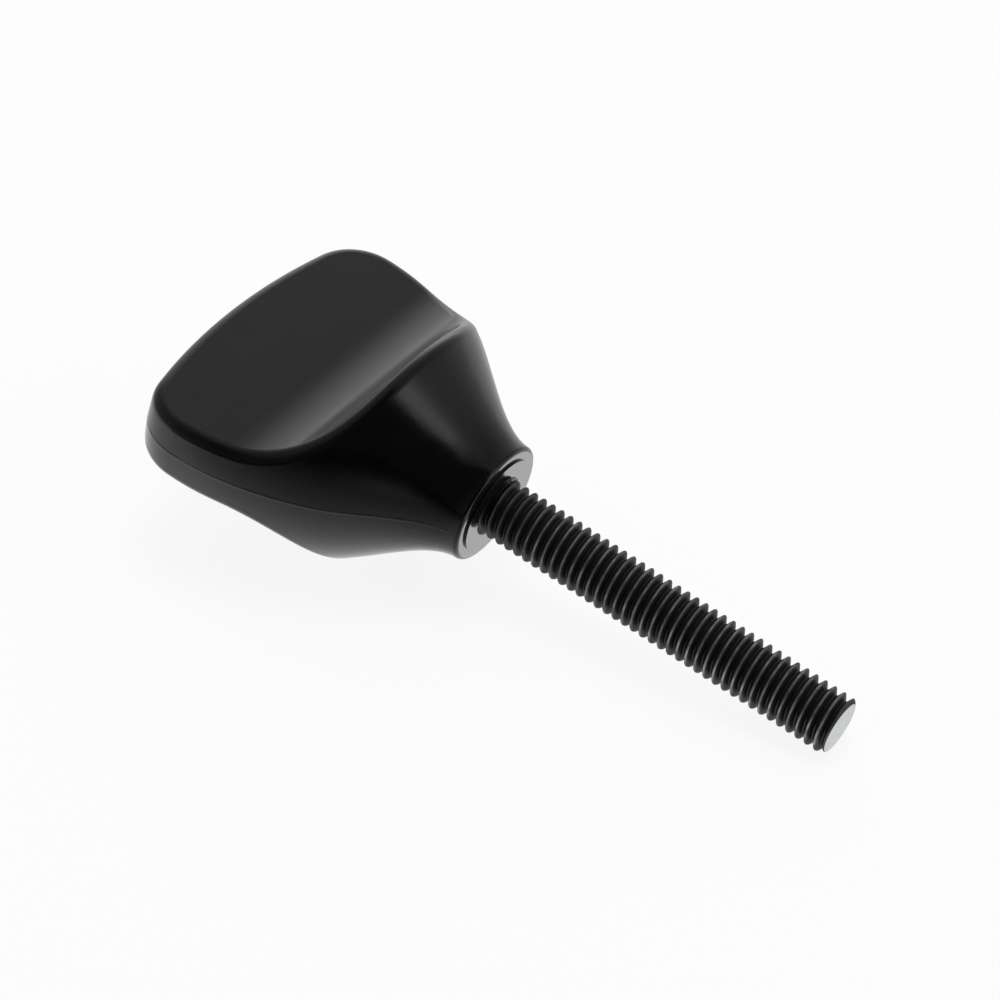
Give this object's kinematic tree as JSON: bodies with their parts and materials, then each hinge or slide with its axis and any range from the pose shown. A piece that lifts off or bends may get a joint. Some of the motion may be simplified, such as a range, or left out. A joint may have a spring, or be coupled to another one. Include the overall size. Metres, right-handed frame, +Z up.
{
  "type": "wing screw",
  "caption": "Thumb-turned clamping screw: a black moulded wing head with a bell-shaped neck and two thumb scoops, on a black steel M6 thread, lying at rest.",
  "frame": {"origin": "on the surface that the loose screw lies on, under the middle of its box", "axes": "+X along the stud towards its tip, seen from above; +Z up; the wing lies level across Y"},
  "size_m": [0.069, 0.0336, 0.0233],
  "materials": {
    "black_plastic": "black moulded thermoplastic, satin on the wing and glossier on the neck",
    "black_steel": "black-finished steel with a rolled thread, rubbed brighter on the crests and the cut tip"
  },
  "bodies": {
    "root": {"wing_head": "black_plastic", "threaded_stud": "black_steel"}
  },
  "joints": []
}
